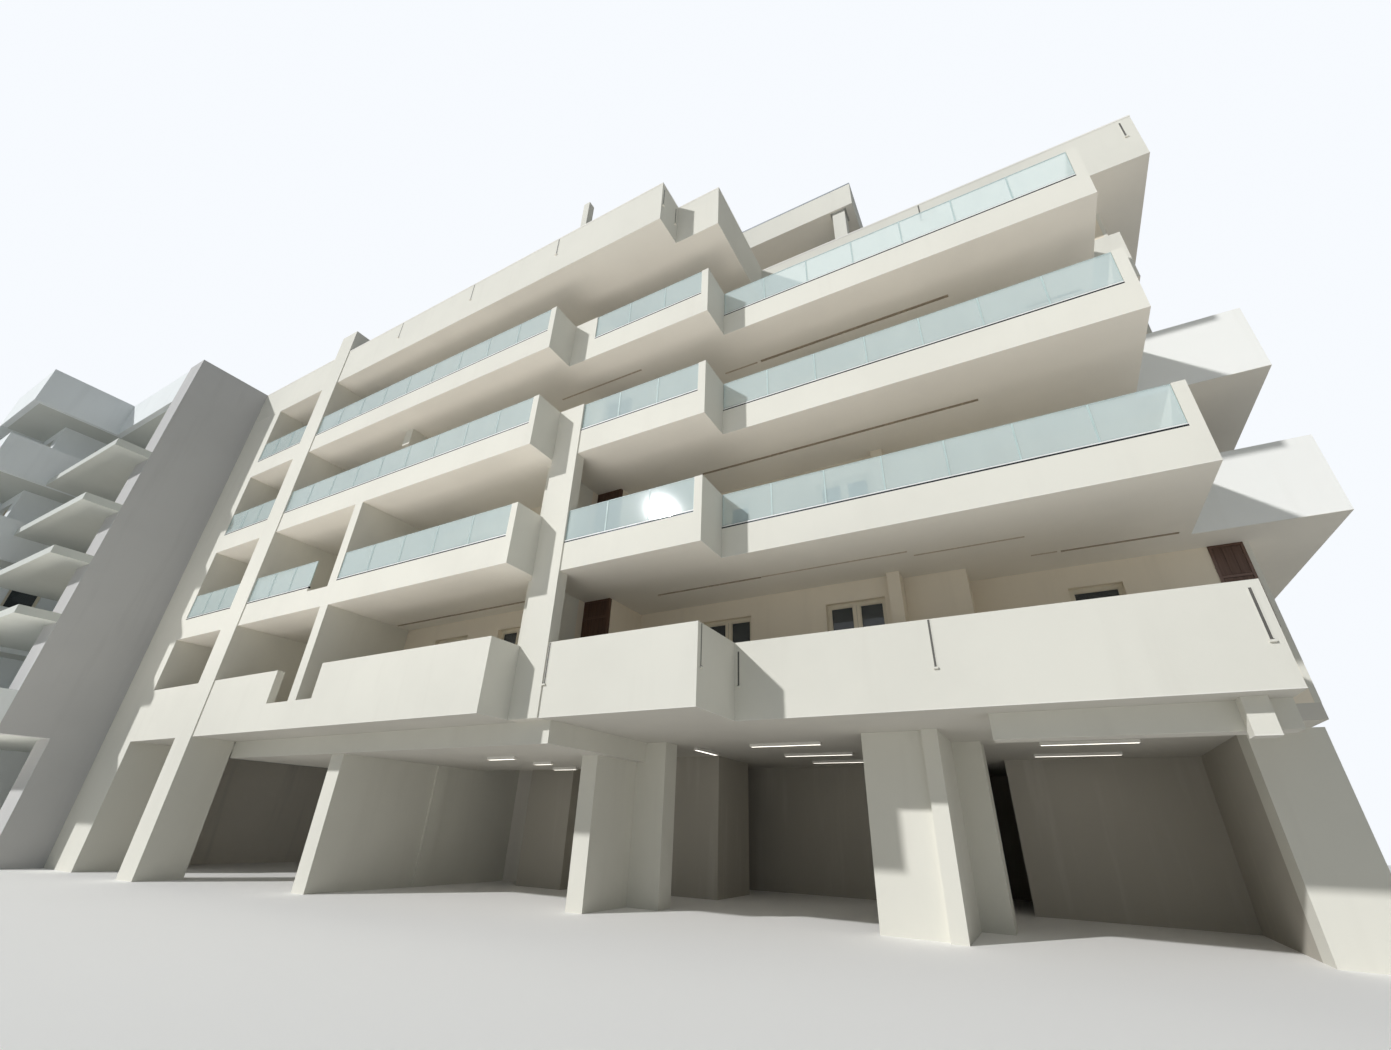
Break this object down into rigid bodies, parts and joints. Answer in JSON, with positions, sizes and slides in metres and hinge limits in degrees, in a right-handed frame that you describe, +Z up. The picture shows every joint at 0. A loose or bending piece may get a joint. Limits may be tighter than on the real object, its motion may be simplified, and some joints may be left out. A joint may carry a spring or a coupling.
{
  "type": "apartment block",
  "caption": "Modern concrete apartment block on open parking bays, with stepped balconies, solid and glass parapets, tall piers, a projecting wing and a rooftop storey.",
  "frame": {"origin": "middle of the block's outline, on the ground", "axes": "+X along the street front to the right as seen from the street, +Y into the building away from the street, +Z up"},
  "size_m": [39.8, 20.6, 19.24],
  "materials": {
    "render": "fine smooth render",
    "grey_render": "fine smooth render",
    "soffit_paint": "matt masonry paint",
    "wall_render": "fine smooth render",
    "guard_glass": "clear laminated glass",
    "window_glass": "clear glazing",
    "dark_channel": "dark anodised",
    "cream_frame": "powder coated",
    "brown_door": "satin paint",
    "lamp": "opal diffuser"
  },
  "bodies": {
    "root": {"grey_wall": "grey_render", "strip_pier": "render", "left_pier": "render", "centre_pier": "render", "street_wall": "render", "street_pier": "render", "right_street_pier": "render", "corner_pier": "render", "transfer_beam": "render", "parking_beam": "render", "parking_walls": "grey_render", "ground_rear_walls": "wall_render", "parking_lights": "lamp", "floor_slab_1": "soffit_paint", "floor_slab_2": "soffit_paint", "floor_slab_3": "soffit_paint", "floor_slab_4": "soffit_paint", "parapet_1": "render", "parapet_2": "render", "parapet_3": "render", "parapet_4": "render", "balcony_glass_2": "guard_glass", "balcony_glass_3": "guard_glass", "balcony_glass_4": "guard_glass", "glass_channels": "dark_channel", "left_front_walls": "wall_render", "door_walls": "wall_render", "centre_front_walls": "wall_render", "right_front_walls": "wall_render", "side_walls": "wall_render", "rear_walls": "wall_render", "fin_walls": "render", "window_frames": "cream_frame", "window_glass": "window_glass", "brown_doors": "brown_door", "roof_slab": "soffit_paint", "roof_edge": "render", "roof_post": "render", "rooftop_walls": "wall_render", "rooftop_canopy": "render", "rooftop_posts": "render", "wing_party_wall": "render", "wing_walls": "wall_render", "wing_floors": "soffit_paint", "wing_parapets": "render"}
  },
  "joints": []
}
